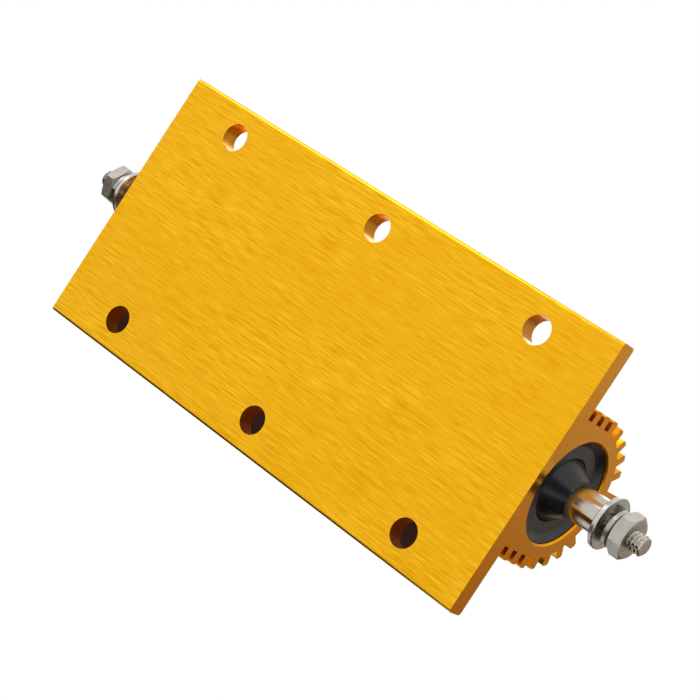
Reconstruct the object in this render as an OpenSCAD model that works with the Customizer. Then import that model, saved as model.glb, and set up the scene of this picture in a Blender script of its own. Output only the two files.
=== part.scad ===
// Aluminium housed wirewound power resistor with a threaded terminal at each end.
// A finned aluminium extrusion holds a wound ceramic core inside an insulating sleeve. A moulded
// bush closes each end of the bore, and a turned terminal comes out through it and carries a flat
// washer, a split spring washer and a hexagon nut.
// X runs along the terminals, Y across the plate and Z up from the mounting face, in millimetres.

/* [Mounting plate] */
// Length of the extrusion
housing_l = 139.5; // [120:0.5:170]
// Width of the mounting plate
plate_w = 68; // [64:0.5:80]
// Thickness of the mounting plate
plate_t = 5; // [4:0.1:6]
// Radius of the plate's long edges
plate_edge_r = 0.8; // [0.4:0.1:1.5]

/* [Mounting holes] */
// Diameter of the six mounting holes
hole_d = 7; // [5:0.1:8]
// Distance from one hole to the next along the plate
hole_pitch = 50; // [40:0.5:54]
// Distance between the two rows of holes
hole_rows = 52.6; // [50:0.1:56]

/* [Finned body] */
// Height of the bore's axis above the mounting face
axis_h = 16.2; // [15.8:0.1:18]
// Radius of the wall that the fins stand on
root_r = 16.1; // [15:0.1:17]
// Distance from the middle of the body to the tips of the side fins
side_y = 18.95; // [18:0.05:20]
// Thickness of a side fin
side_fin_t = 2.3; // [1.8:0.1:2.6]
// Distance from one side fin to the next
side_fin_pitch = 4.3; // [3.8:0.05:4.5]
// Height of the top side fin's middle above the axis
side_fin_rise = 0.5; // [0:0.1:0.9]
// Radius over the tips of the upper fins
fin_r = 18.9; // [18:0.1:20]
// Thickness of an upper fin
fin_t = 2; // [1.5:0.1:2.2]
// Height above the axis of the line that the upper fins fan out from
fan_rise = 1.6; // [1:0.1:2]
// Angle of the lowest upper fin above the horizontal
first_fin = 11; // [10:0.5:12]
// Angle from one upper fin to the next
fin_step = 15.1; // [14.5:0.1:15.5]
// Chamfer at the fin tips
tip_chamfer = 0.4; // [0.1:0.05:0.5]
// Width of the flat land along the top
land_w = 10; // [8:0.5:11]
// Height of the land's face above the mounting face
land_h = 37.5; // [36:0.1:40]

/* [Bore] */
// Radius of the bore
bore_r = 12.8; // [12.4:0.1:13.4]
// Chamfer at each end of the bore
bore_chamfer = 0.4; // [0.1:0.05:1]

/* [End bush] */
// Length of a bush inside the bore
bush_l = 10; // [8:0.5:14]
// Depth of the bush's rim below the end of the housing
rim_depth = 0.7; // [0.4:0.1:1]
// Depth of the dished face below the end of the housing
dish_depth = 1.9; // [1.2:0.1:3]
// Outer radius of the dished face
dish_r = 11; // [10:0.1:12]
// Radius of the cone where it rises from the dished face
cone_base_r = 7.6; // [6.5:0.1:9]
// Radius of the cone round the terminal
cone_tip_r = 4.7; // [4.7:0.1:6]
// Distance from the end of the housing to the tip of the cone
cone_out = 2.4; // [2:0.1:6]
// Width and depth of the groove round the foot of the cone
foot_groove = 0.4; // [0.1:0.05:0.6]

/* [Terminal] */
// Diameter of the plain shoulder
shoulder_d = 8.5; // [6.8:0.1:9]
// Distance from the end of the housing to the shoulder's face
shoulder_out = 11.3; // [8:0.1:14]
// Diameter of the threaded stud
stud_d = 4.8; // [4:0.1:5.5]
// Distance from the nut's face to the end of the stud
stud_proud = 3.3; // [2:0.1:8]
// Chamfer at the end of the stud
stud_chamfer = 0.5; // [0.2:0.1:0.8]
// Depth of the stud's thread where the nut's thread fills it
thread_depth = 0.35; // [0.2:0.05:0.6]
// Diameter of the head behind the bush
head_d = 14; // [12:0.5:16]
// Thickness of the head behind the bush
head_t = 1.5; // [1:0.1:3]

/* [Washers and nut] */
// Diameter of the flat washer
washer_d = 12.8; // [11:0.1:14]
// Thickness of the flat washer
washer_t = 1.2; // [0.8:0.1:1.6]
// Chamfer at the flat washer's rim
washer_edge = 0.2; // [0.05:0.05:0.3]
// Diameter of the spring washer
spring_d = 9.3; // [8.6:0.1:10]
// Thickness of the spring washer
spring_t = 1.3; // [1:0.1:1.5]
// Height of the spring washer over its two ends
spring_h = 2.9; // [2.2:0.1:3.2]
// Angle of the gap in the spring washer
spring_gap = 10; // [6:1:20]
// Width of the nut across its flats
nut_af = 9.5; // [8:0.1:10]
// Thickness of the nut
nut_t = 3.4; // [3:0.1:4]

/* [Wound core] */
// Diameter of the ceramic core
core_d = 16; // [14:0.1:16.5]
// Diameter of the hole through the core
core_hole_d = 8; // [4:0.5:10]
// Diameter of the resistance wire
wire_d = 1.2; // [0.8:0.1:1.4]
// Distance from one turn of wire to the next
wire_pitch = 3.8; // [3:0.1:6]
// Thickness of the metal cap on each end of the core
cap_t = 0.8; // [0.5:0.1:1]
// Length of each cap over the core
cap_l = 8; // [5:0.5:12]

/* [Fits] */
// Gap between parts that slide together
fit = 0.05; // [0.02:0.01:0.1]
// Gap between the stud and the nut and washers round it
stud_gap = 0.1; // [0.05:0.05:0.2]

/* [Hidden] */
$fn = 72;
over = 1; // how far a cut runs past the face it opens

// Fins on each side: straight ones up the side, then fanned ones up to the land
side_fins = 3;
upper_fins = 4;

// Places along X, measured outward from the middle of the part
end_x = housing_l / 2;
bush_x = end_x - bush_l;
cap_x = bush_x - head_t;
core_x = cap_x - cap_t;
skirt_x = core_x - cap_l;
washer_x = end_x + shoulder_out;
spring_x = washer_x + washer_t;
nut_x = spring_x + spring_h;
nut_face_x = nut_x + nut_t;
stud_end_x = nut_face_x + stud_proud;

// Sizes that follow from the fits
bush_r = bore_r - fit;
shoulder_r = shoulder_d / 2;
stud_r = stud_d / 2;
clear_r = stud_r + stud_gap;
engaged_r = stud_r - thread_depth;
cap_bore_r = core_d / 2 + fit;
turn_steps = 16;
wire_in_r = core_d / 2 + fit;
wire_path_r = (wire_in_r + wire_d / 2) / cos(180 / turn_steps);
sleeve_bore_r = max(wire_path_r + wire_d / 2, head_d / 2, cap_bore_r + cap_t) + fit;

// Turns that set each terminal's nut and spring washer as they were tightened
nut_turn = [27, 8];
spring_turn = [280, 335];

// ---- helpers ----

// Points along an arc, from angle a0 to a1 in n steps
function arc(x, y, r, a0, a1, n) =
  [for (i = [0 : n]) let (a = a0 + (a1 - a0) * i / n) [x + r * cos(a), y + r * sin(a)]];

// Turns a shape built about Z so that Z points along the bore
module along_bore(x = 0) {
  translate([x, 0, axis_h]) rotate([0, 90, 0]) children();
}

// Puts what is built at the right-hand end on the other end, turned and not mirrored
module at_left() {
  rotate([0, 0, 180]) children();
}

// Closed solid skinned over a list of rings that have the same number of points
module skin(rings) {
  n = len(rings[0]);
  m = len(rings);
  walls = [
    for (i = [0 : m - 2], j = [0 : n - 1])
      let (k = (j + 1) % n, a = i * n, b = a + n)
        each [[a + j, a + k, b + k], [a + j, b + k, b + j]]
  ];
  first = [[for (j = [n - 1 : -1 : 0]) j]];
  last = [[for (j = [0 : n - 1]) (m - 1) * n + j]];
  polyhedron(points = [for (r = rings) each r], faces = concat(walls, first, last));
}

// ---- housing ----

// Flat plate with rounded long edges
module plate_outline() {
  x = plate_w / 2 - plate_edge_r;
  low = plate_edge_r;
  high = plate_t - plate_edge_r;
  polygon(concat(
    arc(x, low, plate_edge_r, -90, 0, 5),
    arc(x, high, plate_edge_r, 0, 90, 5),
    arc(-x, high, plate_edge_r, 90, 180, 5),
    arc(-x, low, plate_edge_r, 180, 270, 5)
  ));
}

// Rectangle from x = 0 to x = tip, of thickness t about the X axis, with its far corners chamfered
module fin_outline(tip, t) {
  c = tip_chamfer;
  polygon([[0, -t / 2], [tip - c, -t / 2], [tip, c - t / 2], [tip, t / 2 - c], [tip - c, t / 2], [0, t / 2]]);
}

// Distance from the line that the upper fins fan out from to their tips, at angle a
function fin_reach(a) = sqrt(pow(fin_r, 2) - pow(fan_rise * cos(a), 2)) - fan_rise * sin(a);

// Every fin on the +Y side of the body, as seen along the bore
module fin_bank() {
  for (i = [0 : side_fins - 1])
    translate([0, side_fin_rise - i * side_fin_pitch]) fin_outline(side_y, side_fin_t);
  for (i = [0 : upper_fins - 1])
    let (a = first_fin + i * fin_step)
      translate([0, fan_rise]) rotate(a) fin_outline(fin_reach(a), fin_t);
}

// Wall round the bore on a straight foot, with its fins and the land along its top
module body_outline() {
  half = land_w / 2;
  translate([-root_r, plate_t / 2]) square([2 * root_r, axis_h - plate_t / 2]);
  translate([0, axis_h]) {
    circle(r = root_r);
    fin_bank();
    mirror([1, 0]) fin_bank();
  }
  polygon([
    [-half, axis_h], [half, axis_h], [half, land_h - tip_chamfer], [half - tip_chamfer, land_h],
    [tip_chamfer - half, land_h], [-half, land_h - tip_chamfer]
  ]);
}

// Extruded aluminium housing, sawn to length, bored and drilled
module housing() {
  color("goldenrod")
  difference() {
    rotate([90, 0, 90]) linear_extrude(housing_l, center = true) {
      plate_outline();
      body_outline();
    }
    along_bore() cylinder(r = bore_r, h = housing_l + 2 * over, center = true);
    for (side = [0, 180])
      rotate([0, 0, side]) along_bore(end_x - bore_chamfer)
        cylinder(r1 = bore_r, r2 = bore_r + bore_chamfer + over, h = bore_chamfer + over);
    for (x = [-1, 0, 1], y = [-0.5, 0.5])
      translate([x * hole_pitch, y * hole_rows, -over]) cylinder(d = hole_d, h = plate_t + 2 * over);
  }
}

// ---- wound core ----

// Moulded insulation between the winding and the bore
module insulating_sleeve() {
  color("lightgray")
  along_bore() difference() {
    cylinder(r = bush_r, h = 2 * bush_x, center = true);
    cylinder(r = sleeve_bore_r, h = 2 * bush_x + 2 * over, center = true);
  }
}

// Ceramic tube that the wire is wound on
module ceramic_core() {
  color("ivory")
  along_bore() difference() {
    cylinder(d = core_d, h = 2 * core_x, center = true);
    cylinder(d = core_hole_d, h = 2 * core_x + 2 * over, center = true);
  }
}

// Resistance wire wound in one layer from cap to cap
module resistance_winding() {
  span = 2 * (skirt_x - fit) - wire_d;
  turns = span / wire_pitch;
  steps = round(turns * turn_steps);
  color("dimgray")
  along_bore() skin([
    for (i = [0 : steps])
      let (a = 360 * turns * i / steps, z = span * (i / steps - 0.5))
        [for (q = [0 : 5])
          let (r = wire_path_r + wire_d / 2 * cos(60 * q))
            [r * cos(a), r * sin(a), z - wire_d / 2 * sin(60 * q)]]
  ]);
}

// Pressed metal cap over one end of the core
module core_cap() {
  color("silver")
  along_bore() rotate_extrude() polygon([
    [0, cap_x], [cap_bore_r + cap_t - 0.3, cap_x], [cap_bore_r + cap_t, cap_x - 0.3],
    [cap_bore_r + cap_t, skirt_x], [cap_bore_r, skirt_x], [cap_bore_r, core_x], [0, core_x]
  ]);
}
module core_cap_right() { core_cap(); }
module core_cap_left() { at_left() core_cap(); }

// ---- ends ----

// Moulded bush with a dished face and a cone round the terminal
module end_bush() {
  foot_x = end_x - dish_depth;
  color([0.14, 0.14, 0.15])
  along_bore() rotate_extrude() polygon([
    [shoulder_r + fit, bush_x], [bush_r - 0.4, bush_x], [bush_r, bush_x + 0.4],
    [bush_r, end_x - rim_depth - 0.1], [bush_r - 0.1, end_x - rim_depth],
    [dish_r, foot_x], [cone_base_r + foot_groove, foot_x],
    [cone_base_r + foot_groove / 2, foot_x - foot_groove], [cone_base_r, foot_x],
    [cone_tip_r, end_x + cone_out], [shoulder_r + fit, end_x + cone_out]
  ]);
}
module end_bush_right() { end_bush(); }
module end_bush_left() { at_left() end_bush(); }

// Turned terminal: a head inside, a plain shoulder and a threaded stud. The stud is drawn at the
// crest of its thread, apart from the length that the nut's thread fills.
module terminal() {
  color([0.72, 0.70, 0.66])
  along_bore() rotate_extrude() polygon([
    [0, cap_x], [head_d / 2, cap_x], [head_d / 2, bush_x], [shoulder_r, bush_x],
    [shoulder_r, washer_x - 0.3], [shoulder_r - 0.3, washer_x], [stud_r, washer_x],
    [stud_r, nut_x], [engaged_r, nut_x], [engaged_r, nut_face_x], [stud_r, nut_face_x],
    [stud_r, stud_end_x - stud_chamfer], [stud_r - stud_chamfer, stud_end_x], [0, stud_end_x]
  ]);
}
module terminal_right() { terminal(); }
module terminal_left() { at_left() terminal(); }

// Stamped flat washer against the shoulder
module flat_washer() {
  color([0.75, 0.74, 0.72])
  along_bore(washer_x) difference() {
    rotate_extrude() polygon([
      [0, 0], [washer_d / 2 - washer_edge, 0], [washer_d / 2, washer_edge],
      [washer_d / 2, washer_t - washer_edge], [washer_d / 2 - washer_edge, washer_t], [0, washer_t]
    ]);
    translate([0, 0, -over]) cylinder(r = clear_r + stud_gap, h = washer_t + 2 * over);
  }
}
module flat_washer_right() { flat_washer(); }
module flat_washer_left() { at_left() flat_washer(); }

// Split spring washer: one turn of square wire that climbs from the flat washer to the nut
module spring_washer(turn) {
  steps = 48;
  sweep = 360 - spring_gap;
  low = clear_r / cos(sweep / steps / 2) + stud_gap;
  high = spring_d / 2;
  edge = 0.2;
  section = [
    [low + edge, 0], [high - edge, 0], [high, edge], [high, spring_t - edge],
    [high - edge, spring_t], [low + edge, spring_t], [low, spring_t - edge], [low, edge]
  ];
  color([0.66, 0.64, 0.60])
  along_bore(spring_x) rotate([0, 0, turn]) skin([
    for (i = [0 : steps])
      let (a = -sweep * i / steps, z = (spring_h - spring_t) * i / steps)
        [for (p = section) [p[0] * cos(a), p[0] * sin(a), p[1] + z]]
  ]);
}
module spring_washer_right() { spring_washer(spring_turn[0]); }
module spring_washer_left() { at_left() spring_washer(spring_turn[1]); }

// Hexagon nut, chamfered on both faces and countersunk round its thread
module hex_nut(turn) {
  corner_r = nut_af / 2 / cos(30);
  face_r = nut_af / 2 * 0.96;
  thread_r = engaged_r + stud_gap;
  mouth = clear_r - thread_r;
  rise = (corner_r - face_r) * tan(30);
  color([0.74, 0.73, 0.70])
  along_bore(nut_x) rotate([0, 0, turn]) difference() {
    intersection() {
      linear_extrude(nut_t) circle(r = corner_r, $fn = 6);
      rotate_extrude() polygon([
        [0, 0], [face_r, 0], [corner_r + over, rise + over * tan(30)],
        [corner_r + over, nut_t - rise - over * tan(30)], [face_r, nut_t], [0, nut_t]
      ]);
    }
    translate([0, 0, -over]) cylinder(r = thread_r, h = nut_t + 2 * over);
    translate([0, 0, -over]) cylinder(r1 = clear_r + over, r2 = thread_r, h = mouth + over);
    translate([0, 0, nut_t - mouth]) cylinder(r1 = thread_r, r2 = clear_r + over, h = mouth + over);
  }
}
module hex_nut_right() { hex_nut(nut_turn[0]); }
module hex_nut_left() { at_left() hex_nut(nut_turn[1]); }

housing();
insulating_sleeve();
ceramic_core();
resistance_winding();
core_cap_right();
core_cap_left();
end_bush_right();
end_bush_left();
terminal_right();
terminal_left();
flat_washer_right();
flat_washer_left();
spring_washer_right();
spring_washer_left();
hex_nut_right();
hex_nut_left();
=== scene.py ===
import math

import bmesh
import bpy
from mathutils import Matrix, Vector


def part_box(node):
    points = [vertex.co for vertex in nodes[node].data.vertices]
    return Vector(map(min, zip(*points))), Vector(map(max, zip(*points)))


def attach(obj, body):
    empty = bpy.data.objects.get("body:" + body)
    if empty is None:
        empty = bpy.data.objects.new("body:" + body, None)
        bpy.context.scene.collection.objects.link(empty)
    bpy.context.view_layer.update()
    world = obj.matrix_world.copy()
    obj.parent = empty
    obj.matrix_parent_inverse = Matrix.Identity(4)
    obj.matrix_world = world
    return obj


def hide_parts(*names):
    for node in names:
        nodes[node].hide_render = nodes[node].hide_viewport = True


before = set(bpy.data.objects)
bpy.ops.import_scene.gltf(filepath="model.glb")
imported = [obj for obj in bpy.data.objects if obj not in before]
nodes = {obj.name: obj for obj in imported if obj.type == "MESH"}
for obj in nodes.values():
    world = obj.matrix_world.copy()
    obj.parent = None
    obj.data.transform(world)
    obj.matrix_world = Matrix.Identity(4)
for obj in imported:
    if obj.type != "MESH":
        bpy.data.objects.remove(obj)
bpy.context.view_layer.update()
mm = 0.001


# ---- Ceramic core ----
# A fired tube that carries the winding. It is unglazed, cream and slightly chalky, with the dark
# specks that such clay has, and it can't be seen once the resistor is closed.

class Wire:
    """A node's output that takes part in arithmetic. Each operator adds one Math node."""

    def __init__(self, finish, socket):
        self.finish = finish
        self.socket = socket

    def sum(self, operation, *values):
        return self.finish.node("ShaderNodeMath", {"operation": operation}, dict(enumerate(values)))

    def own(self, operation):
        """A Math operation on this value alone, such as a square root."""
        return self.sum(operation, self)

    def __add__(self, other): return self.sum("ADD", self, other)
    def __radd__(self, other): return self.sum("ADD", other, self)
    def __sub__(self, other): return self.sum("SUBTRACT", self, other)
    def __rsub__(self, other): return self.sum("SUBTRACT", other, self)
    def __mul__(self, other): return self.sum("MULTIPLY", self, other)
    def __rmul__(self, other): return self.sum("MULTIPLY", other, self)
    def __truediv__(self, other): return self.sum("DIVIDE", self, other)
    def __gt__(self, other): return self.sum("GREATER_THAN", self, other)
    def __lt__(self, other): return self.sum("LESS_THAN", self, other)
    def __abs__(self): return self.own("ABSOLUTE")

    def part(self, name):
        """One output of the same node, by its name."""
        return Wire(self.finish, self.socket.node.outputs[name])


class Finish:
    """One material, and the nodes that make it from a place on the object, in metres."""

    def __init__(self, name):
        self.material = bpy.data.materials.new(name)
        self.material.use_nodes = True
        self.tree = self.material.node_tree
        self.tree.nodes.clear()
        self.place = self.node("ShaderNodeTexCoord", {}, {}, "Object")

    def node(self, kind, settings, sockets, output=0):
        """Adds a node, sets it up, then fills its sockets with values or links."""
        made = self.tree.nodes.new(kind)
        for name, value in settings.items():
            if name == "stops":
                ramp = made.color_ramp.elements
                while len(ramp) < len(value):
                    ramp.new(1.0)
                for stop, (at, colour) in zip(ramp, value):
                    stop.position, stop.color = at, colour
            else:
                setattr(made, name, value)
        for key, value in sockets.items():
            if isinstance(value, Wire):
                self.tree.links.new(value.socket, made.inputs[key])
            else:
                made.inputs[key].default_value = value
        return Wire(self, made.outputs[output]) if len(made.outputs) else None

    def grain(self, x, y, z, detail=2.0, rough=0.5):
        """Noise whose grains are about x, y and z metres long."""
        at = self.node("ShaderNodeMapping", {}, {"Vector": self.place, "Scale": (1 / x, 1 / y, 1 / z)})
        return self.node("ShaderNodeTexNoise", {}, {
            "Vector": at, "Scale": 1.0, "Detail": detail, "Roughness": rough})

    def spread(self, value, low, high, to_low=0.0, to_high=1.0):
        """value, taken from between low and high to between to_low and to_high."""
        return self.node("ShaderNodeMapRange", {"interpolation_type": "SMOOTHSTEP"}, {
            "Value": value, "From Min": low, "From Max": high, "To Min": to_low, "To Max": to_high})

    def blend(self, share, first, second):
        """Goes from the first colour to the second as share goes from 0 to 1."""
        return self.node("ShaderNodeMix", {"data_type": "RGBA"}, {0: share, 6: first, 7: second}, 2)

    def relief(self, height, strength, depth):
        return self.node("ShaderNodeBump", {}, {"Height": height, "Strength": strength, "Distance": depth})

    def skin(self, **sockets):
        """Ends the material with one Principled surface."""
        named = {key.replace("_", " "): value for key, value in sockets.items()}
        surface = self.node("ShaderNodeBsdfPrincipled", {}, named)
        self.node("ShaderNodeOutputMaterial", {}, {"Surface": surface})
        return self.material


def dress(material, *names):
    """Gives each named CAD piece one material all over."""
    for name in names:
        nodes[name].data.materials.clear()
        nodes[name].data.materials.append(material)


ceramic = Finish("fired_ceramic")
chalk = ceramic.grain(0.8 * mm, 0.8 * mm, 0.8 * mm, detail=4)
specks = ceramic.spread(ceramic.grain(0.35 * mm, 0.35 * mm, 0.35 * mm), 0.66, 0.72)
clay = ceramic.blend(ceramic.spread(chalk, 0.3, 0.7), (0.72, 0.68, 0.56, 1), (0.83, 0.80, 0.70, 1))
dress(ceramic.skin(
    Base_Color=ceramic.blend(specks, clay, (0.30, 0.24, 0.18, 1)),
    Roughness=ceramic.spread(chalk, 0.3, 0.7, 0.75, 0.92),
    Normal=ceramic.relief(chalk, 0.3, 0.05 * mm)), "ceramic_core")


# ---- Resistance winding ----
# Nickel-chromium wire wound on the core in one layer from cap to cap. Heat has left a brown oxide
# on the drawn wire, stronger in some turns than in others.

winding = Finish("oxidised_wire")
heat = winding.grain(5 * mm, 2 * mm, 2 * mm, detail=3)
draw = winding.grain(0.12 * mm, 0.12 * mm, 0.12 * mm)
dress(winding.skin(
    Base_Color=winding.blend(winding.spread(heat, 0.35, 0.65), (0.20, 0.18, 0.16, 1), (0.33, 0.27, 0.22, 1)),
    Metallic=0.9,
    Roughness=winding.spread(draw, 0.3, 0.7, 0.35, 0.55),
    Normal=winding.relief(draw, 0.15, 0.02 * mm)), "resistance_winding")


# ---- Core caps ----
# Pressed sheet metal caps, one over each end of the core. They join the winding to the terminals
# and keep the fine draw marks of the press along their skirts.

caps = Finish("pressed_cap")
drawn = caps.grain(4 * mm, 0.15 * mm, 0.15 * mm, detail=3)
dress(caps.skin(
    Base_Color=caps.blend(caps.spread(drawn, 0.3, 0.7), (0.50, 0.49, 0.47, 1), (0.60, 0.59, 0.56, 1)),
    Metallic=1.0,
    Roughness=caps.spread(drawn, 0.3, 0.7, 0.28, 0.42),
    Normal=caps.relief(drawn, 0.2, 0.02 * mm)), "core_cap_right", "core_cap_left")


# ---- Insulating sleeve ----
# Silicone insulation moulded round the winding. It fills the bore, pale grey and dull, with the
# fine pores that the moulding leaves.

sleeve = Finish("silicone_insulation")
pores = sleeve.grain(0.3 * mm, 0.3 * mm, 0.3 * mm, detail=3)
cloud = sleeve.grain(6 * mm, 4 * mm, 4 * mm)
dress(sleeve.skin(
    Base_Color=sleeve.blend(sleeve.spread(cloud, 0.35, 0.65), (0.55, 0.54, 0.50, 1), (0.64, 0.62, 0.57, 1)),
    Roughness=sleeve.spread(pores, 0.3, 0.7, 0.6, 0.8),
    Normal=sleeve.relief(pores, 0.3, 0.04 * mm)), "insulating_sleeve")


# ---- Housing ----
# One length of extruded aluminium, sawn off at both ends, drilled, brushed along its mounting face
# and gold anodised. The die leaves fine lines along it, and the sawn ends are smooth and darker.

anodised = Finish("gold_anodised")
half_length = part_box("housing")[1][0]
hole_pitch = 50 * mm
hole_row = 26.3 * mm
hole_r = 3.5 * mm
plate_t = 5 * mm
axis_h = (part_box("insulating_sleeve")[0][2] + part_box("insulating_sleeve")[1][2]) / 2
bore_mouth_r = 13.35 * mm
where = anodised.node("ShaderNodeSeparateXYZ", {}, {"Vector": anodised.place})
across = abs(where.part("Y"))
sawn = abs(where.part("X")) > half_length - 0.02 * mm
under = where.part("Z") < 0.02 * mm

# the bore's chamfer, found by its distance from the bore's axis
up = where.part("Z") - axis_h
bored = ((across * across + up * up).own("SQRT") < bore_mouth_r) * (1 - sawn)

# the drilled walls, found by their distance from the nearest hole's axis
nearest_x = where.sum("SNAP", where.part("X") + hole_pitch / 2, hole_pitch)
off_x = abs(where.part("X") - nearest_x)
off_y = abs(across - hole_row)
from_hole = (off_x * off_x + off_y * off_y).own("SQRT")
drilled = (from_hole < hole_r + 0.04 * mm) * (1 - under)

brushed = anodised.grain(6 * mm, 0.17 * mm, 0.17 * mm, detail=1.5, rough=0.5)
streaks = anodised.grain(22 * mm, 0.5 * mm, 0.5 * mm, detail=2)
shade = anodised.grain(50 * mm, 24 * mm, 24 * mm, detail=2)
tooth = anodised.grain(0.5 * mm, 0.5 * mm, 0.5 * mm, detail=3)
ridges = anodised.grain(6 * mm, 6 * mm, 0.28 * mm, detail=2)
line = anodised.spread(brushed * 0.65 + streaks * 0.35, 0.36, 0.64)
drawn_gold = anodised.blend(line, (0.76, 0.345, 0.001, 1), (0.97, 0.55, 0.022, 1))
drawn_gold = anodised.blend(
    anodised.spread(shade, 0.35, 0.65, 0.0, 0.4), drawn_gold, (0.84, 0.41, 0.008, 1))
sawn_gold = anodised.blend(
    anodised.spread(tooth, 0.3, 0.7), (0.86, 0.340, 0.004, 1), (0.92, 0.370, 0.006, 1))
# the drilled walls are darker and redder than the face: partly the drilled finish's own tone, partly painted
# shade inside the holes
drill_tone_and_shade = anodised.blend(
    anodised.spread(ridges, 0.35, 0.65), (0.62, 0.22, 0.006, 1), (0.76, 0.30, 0.008, 1))
machined = sawn + bored
machined = machined.sum("MINIMUM", machined, 1.0)
outer_gold = anodised.blend(machined, drawn_gold, sawn_gold)
dress(anodised.skin(
    Base_Color=anodised.blend(drilled, outer_gold, drill_tone_and_shade),
    Metallic=1.0 - sawn * 0.08,
    Roughness=0.22 + under * 0.15 - sawn * 0.03 + bored * 0.1 - line * under * 0.05,
    Normal=anodised.relief(line * (1 - sawn) * (1 - drilled) * (0.35 + under * 0.65) + drilled * ridges * 0.5,
                           0.35, 0.03 * mm)), "housing")


# ---- End bushes ----
# Black thermoset plugs that close the bore. The mould leaves a satin skin with a very fine grain,
# duller on the dished face than on the cone, which handling has polished.

moulded = Finish("black_moulding")
spot = moulded.node("ShaderNodeSeparateXYZ", {}, {"Vector": moulded.place})
orange_peel = moulded.grain(0.5 * mm, 0.5 * mm, 0.5 * mm, detail=3)
pitted = moulded.grain(0.12 * mm, 0.12 * mm, 0.12 * mm, detail=2)
cloudy = moulded.grain(3 * mm, 3 * mm, 3 * mm, detail=3)
cone = moulded.spread(abs(spot.part("X")), half_length - 1.7 * mm, half_length - 1.2 * mm)
dress(moulded.skin(
    Base_Color=moulded.blend(
        moulded.spread(cloudy, 0.35, 0.65), (0.010, 0.010, 0.011, 1), (0.016, 0.0155, 0.016, 1)),
    Roughness=moulded.spread(cloudy, 0.3, 0.7, 0.28, 0.33) - cone * 0.03,
    Normal=moulded.relief(orange_peel * 0.7 + pitted * 0.3, 0.03, 0.01 * mm)),
      "end_bush_right", "end_bush_left")


# ---- Terminals ----
# Turned from bar and nickel plated: a head inside the bush, a plain shoulder and a rolled thread
# of 24 turns to the inch. The plating keeps the turning marks and has gone warm in places.

right_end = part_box("terminal_right")
stud_end = right_end[1][0]
washer_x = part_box("flat_washer_right")[0][0]
bush_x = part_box("insulating_sleeve")[1][0]
head_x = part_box("core_cap_right")[1][0]
head_r = (right_end[1][2] - right_end[0][2]) / 2
shoulder_r = 4.25 * mm
crest_r = 2.4 * mm
thread_pitch = 25.4 / 24 * mm
thread_depth = 0.5 * mm
end_chamfer = 0.3 * mm


def turned(name, profile, around=96):
    """A solid turned about the bore's axis from (x, radius) points, closed at both ends."""
    mesh = bmesh.new()
    rings = []
    for x, r in profile:
        turns = [2 * math.pi * k / around for k in range(around)]
        rings.append([mesh.verts.new((x, r * math.sin(a), axis_h + r * math.cos(a))) for a in turns])
    for low, high in zip(rings, rings[1:]):
        for k in range(around):
            j = (k + 1) % around
            mesh.faces.new((low[k], low[j], high[j], high[k]))
    mesh.faces.new(rings[0])
    mesh.faces.new(rings[-1][::-1])
    bmesh.ops.recalc_face_normals(mesh, faces=mesh.faces)
    data = bpy.data.meshes.new(name)
    mesh.to_mesh(data)
    mesh.free()
    data.shade_smooth()
    made = bpy.data.objects.new(name, data)
    bpy.context.collection.objects.link(made)
    return made


class Nodes:
    """A Geometry Nodes tree with named inputs, written from the first node to the last."""

    def __init__(self, name, **inputs):
        self.tree = bpy.data.node_groups.new(name, "GeometryNodeTree")
        self.tree.interface.new_socket("Mesh", in_out="OUTPUT", socket_type="NodeSocketGeometry")
        self.names = {}
        for title, kind in inputs.items():
            made = self.tree.interface.new_socket(
                title.replace("_", " "), in_out="INPUT", socket_type="NodeSocket" + kind)
            self.names[title] = made.identifier
        self.inlet = self.tree.nodes.new("NodeGroupInput")
        self.outlet = self.tree.nodes.new("NodeGroupOutput")

    def given(self, title):
        return Wire(self, self.inlet.outputs[title.replace("_", " ")])

    def node(self, kind, settings, sockets, output=0):
        return Finish.node(self, kind, settings, sockets, output)

    def grow(self, name, **values):
        """The mesh that the tree makes from these values, as a plain object."""
        host = bpy.data.objects.new(name, bpy.data.meshes.new(name))
        bpy.context.collection.objects.link(host)
        work = host.modifiers.new("work", "NODES")
        work.node_group = self.tree
        for title, value in values.items():
            work[self.names[title]] = value
        seen = bpy.context.evaluated_depsgraph_get()
        data = bpy.data.meshes.new_from_object(host.evaluated_get(seen))
        host.modifiers.remove(work)
        host.data = data
        return host


plated = Finish("nickel_plated_turning")
turning = plated.grain(0.07 * mm, 3 * mm, 3 * mm, detail=2)
tarnish = plated.grain(2.6 * mm, 1.7 * mm, 1.7 * mm, detail=3)
bright = plated.blend(plated.spread(turning, 0.3, 0.7), (0.50, 0.47, 0.40, 1), (0.58, 0.555, 0.48, 1))
plated.skin(
    Base_Color=plated.blend(plated.spread(tarnish, 0.55, 0.8, 0.0, 0.35), bright, (0.42, 0.27, 0.14, 1)),
    Metallic=1.0,
    Roughness=plated.spread(turning, 0.3, 0.7, 0.13, 0.21),
    Normal=plated.relief(turning, 0.10, 0.01 * mm))

# the thread: a grid wrapped round the axis, its radius set by how far each point is along a turn
rolled = Nodes("rolled_thread", Start="Float", Length="Float", Crest="Float", Depth="Float",
               Pitch="Float", Chamfer="Float", Height="Float", Finish="Material")
length = rolled.given("Length")
grid = rolled.node("GeometryNodeMeshGrid", {}, {
    "Size X": 1.0, "Size Y": 1.0, "Vertices X": 221, "Vertices Y": 65})
spot = rolled.node("ShaderNodeSeparateXYZ", {}, {"Vector": rolled.node("GeometryNodeInputPosition", {}, {})})
along = (spot.part("X") + 0.5) * length
turn = spot.part("Y") + 0.5
phase = (along / rolled.given("Pitch") - turn).own("FRACT")
ridge = abs(phase * 2 - 1)
flank = ridge.sum("MULTIPLY_ADD", ridge, 1.5, -0.25)
flank = flank.sum("MAXIMUM", flank.sum("MINIMUM", flank, 1.0), 0.0)
radius = rolled.given("Crest") - flank * rolled.given("Depth")
limit = rolled.given("Crest") - rolled.given("Chamfer") + (length - along)
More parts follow.
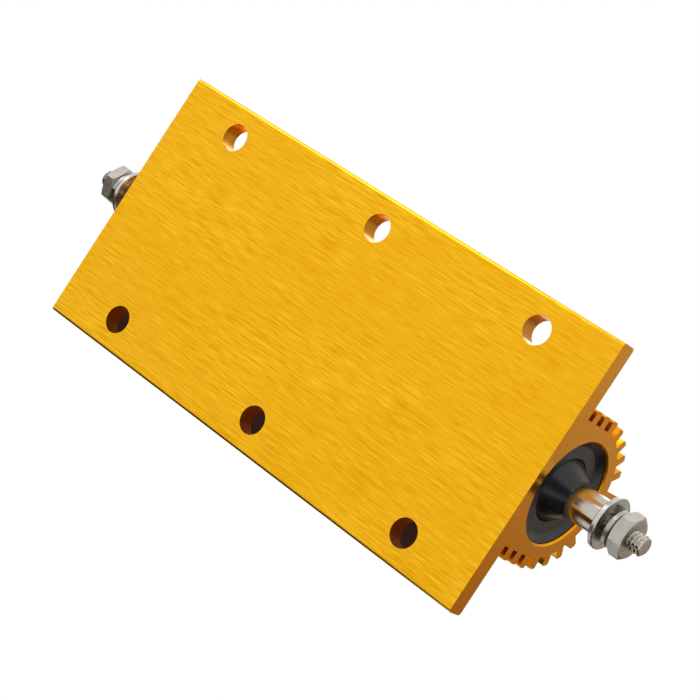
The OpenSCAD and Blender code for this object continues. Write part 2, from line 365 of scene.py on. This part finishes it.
radius = radius.sum("MINIMUM", radius, limit)
angle = turn * (2 * math.pi)
point = rolled.node("ShaderNodeCombineXYZ", {}, {
    "X": rolled.given("Start") + along,
    "Y": radius * angle.own("SINE"),
    "Z": rolled.given("Height") + radius * angle.own("COSINE")})
wrapped = rolled.node("GeometryNodeSetPosition", {}, {"Geometry": grid.part("Mesh"), "Position": point})
closed = rolled.node("GeometryNodeMergeByDistance", {}, {"Geometry": wrapped, "Distance": 0.0005 * mm})
smooth = rolled.node("GeometryNodeSetShadeSmooth", {}, {"Geometry": closed})
real = rolled.node("GeometryNodeRealizeInstances", {}, {"Geometry": smooth})
done = rolled.node("GeometryNodeSetMaterial", {}, {"Geometry": real, "Material": rolled.given("Finish")})
rolled.tree.links.new(done.socket, rolled.outlet.inputs[0])

for side, turned_by in (("right", 0.0), ("left", math.pi)):
    bar = turned("terminal_" + side + "_turned", [
        (head_x, 0.5 * mm), (head_x, head_r), (bush_x, head_r), (bush_x, shoulder_r),
        (washer_x - 0.36 * mm, shoulder_r),
        (washer_x - 0.3 * mm, shoulder_r), (washer_x - 0.22 * mm, shoulder_r - 0.02 * mm),
        (washer_x, shoulder_r - 0.3 * mm), (washer_x, 0.5 * mm)])
    thread = rolled.grow("thread_" + side, Start=washer_x, Length=stud_end - washer_x, Crest=crest_r,
                         Depth=thread_depth, Pitch=thread_pitch, Chamfer=end_chamfer, Height=axis_h,
                         Finish=plated.material)
    mesh = bmesh.new()
    mesh.from_mesh(bar.data)
    mesh.from_mesh(thread.data)
    rim = [edge for edge in mesh.edges if edge.is_boundary]
    bmesh.ops.holes_fill(mesh, edges=rim)
    bmesh.ops.recalc_face_normals(mesh, faces=mesh.faces)
    bmesh.ops.rotate(mesh, verts=mesh.verts, matrix=Matrix.Rotation(turned_by, 3, "Z"))
    for edge in mesh.edges:
        edge.smooth = len(edge.link_faces) == 2 and edge.calc_face_angle() < math.radians(32)
    mesh.to_mesh(bar.data)
    mesh.free()
    bpy.data.objects.remove(thread)
    bar.data.materials.clear()
    bar.data.materials.append(plated.material)
    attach(bar, "root")
    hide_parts("terminal_" + side)


# ---- Flat washers ----
# Stamped from strip and nickel plated. Tumbling has dulled the faces with fine marks that run
# every way, and the rolled edge is brighter.

stamped = Finish("stamped_washer")
tumbled = stamped.grain(0.25 * mm, 0.25 * mm, 0.25 * mm, detail=4, rough=0.6)
patch = stamped.grain(2 * mm, 2 * mm, 2 * mm, detail=2)
dress(stamped.skin(
    Base_Color=stamped.blend(stamped.spread(patch, 0.35, 0.65), (0.54, 0.54, 0.52, 1), (0.60, 0.60, 0.58, 1)),
    Metallic=1.0,
    Roughness=stamped.spread(tumbled, 0.3, 0.7, 0.22, 0.36),
    Normal=stamped.relief(tumbled, 0.08, 0.02 * mm)), "flat_washer_right", "flat_washer_left")


# ---- Spring washers ----
# One turn of square spring wire with its ends cut at a slant, plated over a darker steel. Drawing
# leaves lines round it.

sprung = Finish("plated_spring_steel")
lines = sprung.grain(0.09 * mm, 1.5 * mm, 1.5 * mm, detail=2)
dress(sprung.skin(
    Base_Color=sprung.blend(sprung.spread(lines, 0.3, 0.7), (0.40, 0.38, 0.33, 1), (0.48, 0.46, 0.41, 1)),
    Metallic=1.0,
    Roughness=sprung.spread(lines, 0.3, 0.7, 0.26, 0.40),
    Normal=sprung.relief(lines, 0.12, 0.02 * mm)), "spring_washer_right", "spring_washer_left")


# ---- Hexagon nuts ----
# Cut from hexagon bar and nickel plated. The bar's draw lines run along the flats, and the faces
# keep the rings of the facing tool.

nut_finish = Finish("plated_nut")
bar_lines = nut_finish.grain(2.5 * mm, 0.14 * mm, 0.14 * mm, detail=3)
wear = nut_finish.grain(1.4 * mm, 1.4 * mm, 1.4 * mm, detail=3)
dress(nut_finish.skin(
    Base_Color=nut_finish.blend(
        nut_finish.spread(wear, 0.3, 0.7), (0.43, 0.405, 0.35, 1), (0.49, 0.465, 0.41, 1)),
    Metallic=1.0,
    Roughness=nut_finish.spread(bar_lines, 0.3, 0.7, 0.26, 0.38),
    Normal=nut_finish.relief(bar_lines, 0.10, 0.02 * mm)), "hex_nut_right", "hex_nut_left")


# ---- Studio ----
# A pale floor just under the part. It shows from above only, so that the mounting face can be
# looked at from below against a plain white background.

paper = Finish("pale_floor")
from_below = paper.node("ShaderNodeNewGeometry", {}, {}, "Backfacing")
camera_ray = paper.node("ShaderNodeLightPath", {}, {}, "Is Camera Ray")
felt = paper.grain(1.2 * mm, 1.2 * mm, 1.2 * mm, detail=3)
matt = paper.node("ShaderNodeBsdfDiffuse", {}, {
    "Color": paper.blend(paper.spread(felt, 0.3, 0.7), (0.80, 0.80, 0.79, 1), (0.84, 0.84, 0.83, 1))})
clear = paper.node("ShaderNodeBsdfTransparent", {}, {})
paper.node("ShaderNodeOutputMaterial", {}, {"Surface": paper.node("ShaderNodeMixShader", {}, {
    0: camera_ray * (1 - from_below), 1: clear, 2: matt})})


def card(name, middle, facing, width, height, material):
    """A flat rectangle that faces along a direction, with its place in its mesh."""
    turn = Vector(facing).to_track_quat("Z", "Y")
    corners = [Vector(middle) + turn @ Vector((x * width / 2, y * height / 2, 0))
               for x, y in ((-1, -1), (1, -1), (1, 1), (-1, 1))]
    data = bpy.data.meshes.new(name)
    data.from_pydata(corners, [], [(0, 1, 2, 3)])
    data.materials.append(material)
    made = bpy.data.objects.new(name, data)
    bpy.context.collection.objects.link(made)
    return made


floor = card("floor", (0, 0, -0.4 * mm), (0, 0, 1), 4, 4, paper.material)

# cards round the part, hidden from the camera and seen in its metal: dark ones beyond its +Y side and
# behind the camera, and a paler one above the right-hand end. Each is browner and darker towards +Y.
flag = Finish("grey_card")
tone = flag.node("ShaderNodeAttribute", {"attribute_type": "OBJECT", "attribute_name": "tone"}, {}, "Fac")
nap = flag.grain(2 * mm, 2 * mm, 2 * mm)
beside = flag.node("ShaderNodeSeparateXYZ", {}, {"Vector": flag.place}).part("Y")
tint = flag.blend(flag.spread(beside, -0.06, 0.10), (1, 1, 1, 1), (0.62, 0.42, 0.24, 1))
flag.node("ShaderNodeOutputMaterial", {}, {"Surface": flag.node("ShaderNodeBsdfDiffuse", {}, {
    "Color": flag.node("ShaderNodeVectorMath", {"operation": "SCALE"}, {
        0: tint, "Scale": tone * flag.spread(nap, 0.3, 0.7, 0.96, 1.04)})})})
for name, place, facing, width, height, shade_of in (
        ("card_left", (-0.485, 0.34, 0.02), (0, -1, 0), 0.77, 0.90, 0.12),
        ("card_right", (0.33, 0.34, 0.02), (0, -1, 0), 0.46, 0.90, 0.05),
        ("card_low", (0, 0.34, -0.265), (0, -1, 0), 0.20, 0.33, 0.10),
        ("card_behind", (0.45, -0.03, -0.65), (-0.56, 0.04, 0.83), 0.55, 0.55, 0.03),
        ("card_above", (0.17, 0, 0.30), (0, 0, -1), 0.38, 0.50, 0.90)):
    made = card(name, place, facing, width, height, flag.material)
    made["tone"] = shade_of
    made.visible_camera = False
    made.visible_shadow = False

# the shade behind the holes of the +Y row is painted shade: dim squares just above the plate, clear from
# above.
# Camera rays see them as a dark painted shadow, and all other rays see a dim red-brown glow, a painted light
# on the hole walls. The plate mirrors them, so from above a dark square shows round each of those holes.
dim = Finish("shade")
murk = dim.grain(30 * mm, 4 * mm, 4 * mm)
behind = dim.node("ShaderNodeNewGeometry", {}, {}, "Backfacing")
seen = dim.node("ShaderNodeLightPath", {}, {}, "Is Camera Ray")
# the painted shadow's colour for camera rays, and the painted red-brown glow that lights the hole walls for
# all other rays
painted_shadow_tone = dim.blend(dim.spread(murk, 0.3, 0.7), (0.024, 0.009, 0.006, 1), (0.034, 0.014, 0.010, 1))
painted_glow = dim.node("ShaderNodeEmission", {}, {"Color": dim.blend(seen, (0.11, 0.042, 0.016, 1), painted_shadow_tone)})
dim.node("ShaderNodeOutputMaterial", {}, {"Surface": dim.node("ShaderNodeMixShader", {}, {
    0: behind, 1: painted_glow, 2: dim.node("ShaderNodeBsdfTransparent", {}, {})})})
shade_side = 2 * hole_r + 1 * mm
for k in (-1, 0, 1):
    made = card("shade", (k * hole_pitch, hole_row, plate_t + 0.05 * mm), (0, 0, -1),
                shade_side, shade_side, dim.material)
    made.visible_shadow = False


def lamp(name, place, aim, size, power):
    """A square soft light at a place, turned to face a point."""
    data = bpy.data.lights.new(name, "AREA")
    data.size = size
    data.energy = power
    made = bpy.data.objects.new(name, data)
    turn = (Vector(aim) - Vector(place)).to_track_quat("-Z", "Y").to_matrix().to_4x4()
    made.matrix_world = Matrix.Translation(place) @ turn
    bpy.context.collection.objects.link(made)


middle = (0, 0, 15 * mm)
lamp("key", (-0.45, -0.50, -0.43), middle, 0.30, 1.0)
lamp("top", (-0.25, -0.35, 0.75), middle, 0.60, 1.8)

world = bpy.data.worlds.new("studio")
bpy.context.scene.world = world
world.use_nodes = True
sky = Finish.__new__(Finish)
sky.tree = world.node_tree
sky.tree.nodes.clear()
ray = sky.node("ShaderNodeLightPath", {}, {}, "Is Camera Ray")
shown = ray.sum("MAXIMUM", ray, ray.part("Is Glossy Ray"))
shown = shown.sum("MAXIMUM", shown, ray.part("Is Transmission Ray"))
white = sky.node("ShaderNodeBackground", {}, {"Color": (1, 1, 1, 1), "Strength": 1.0})
soft = sky.node("ShaderNodeBackground", {}, {"Color": (1.0, 0.99, 0.97, 1), "Strength": 0.75})
sky.node("ShaderNodeOutputWorld", {}, {
    "Surface": sky.node("ShaderNodeMixShader", {}, {0: shown, 1: soft, 2: white})})

# the camera looks up at the mounting face and along to the right-hand end
to_right = Vector((0.6817885, -0.5453149, 0.4876434))
to_foot = Vector((0.4711284, 0.8372525, 0.2775722))
ahead = Vector((-0.5596449, 0.0404971, 0.8277425))
lens = bpy.data.cameras.new("camera")
lens.lens = 107.78
lens.sensor_width = 36
lens.clip_start = 0.01
camera = bpy.data.objects.new("camera", lens)
stand = Matrix.Translation((0.2775731, -0.0189779, -0.3926444))
camera.matrix_world = stand @ Matrix((to_right, -to_foot, -ahead)).transposed().to_4x4()
bpy.context.collection.objects.link(camera)
bpy.context.scene.camera = camera
bpy.context.scene.view_settings.view_transform = "Standard"
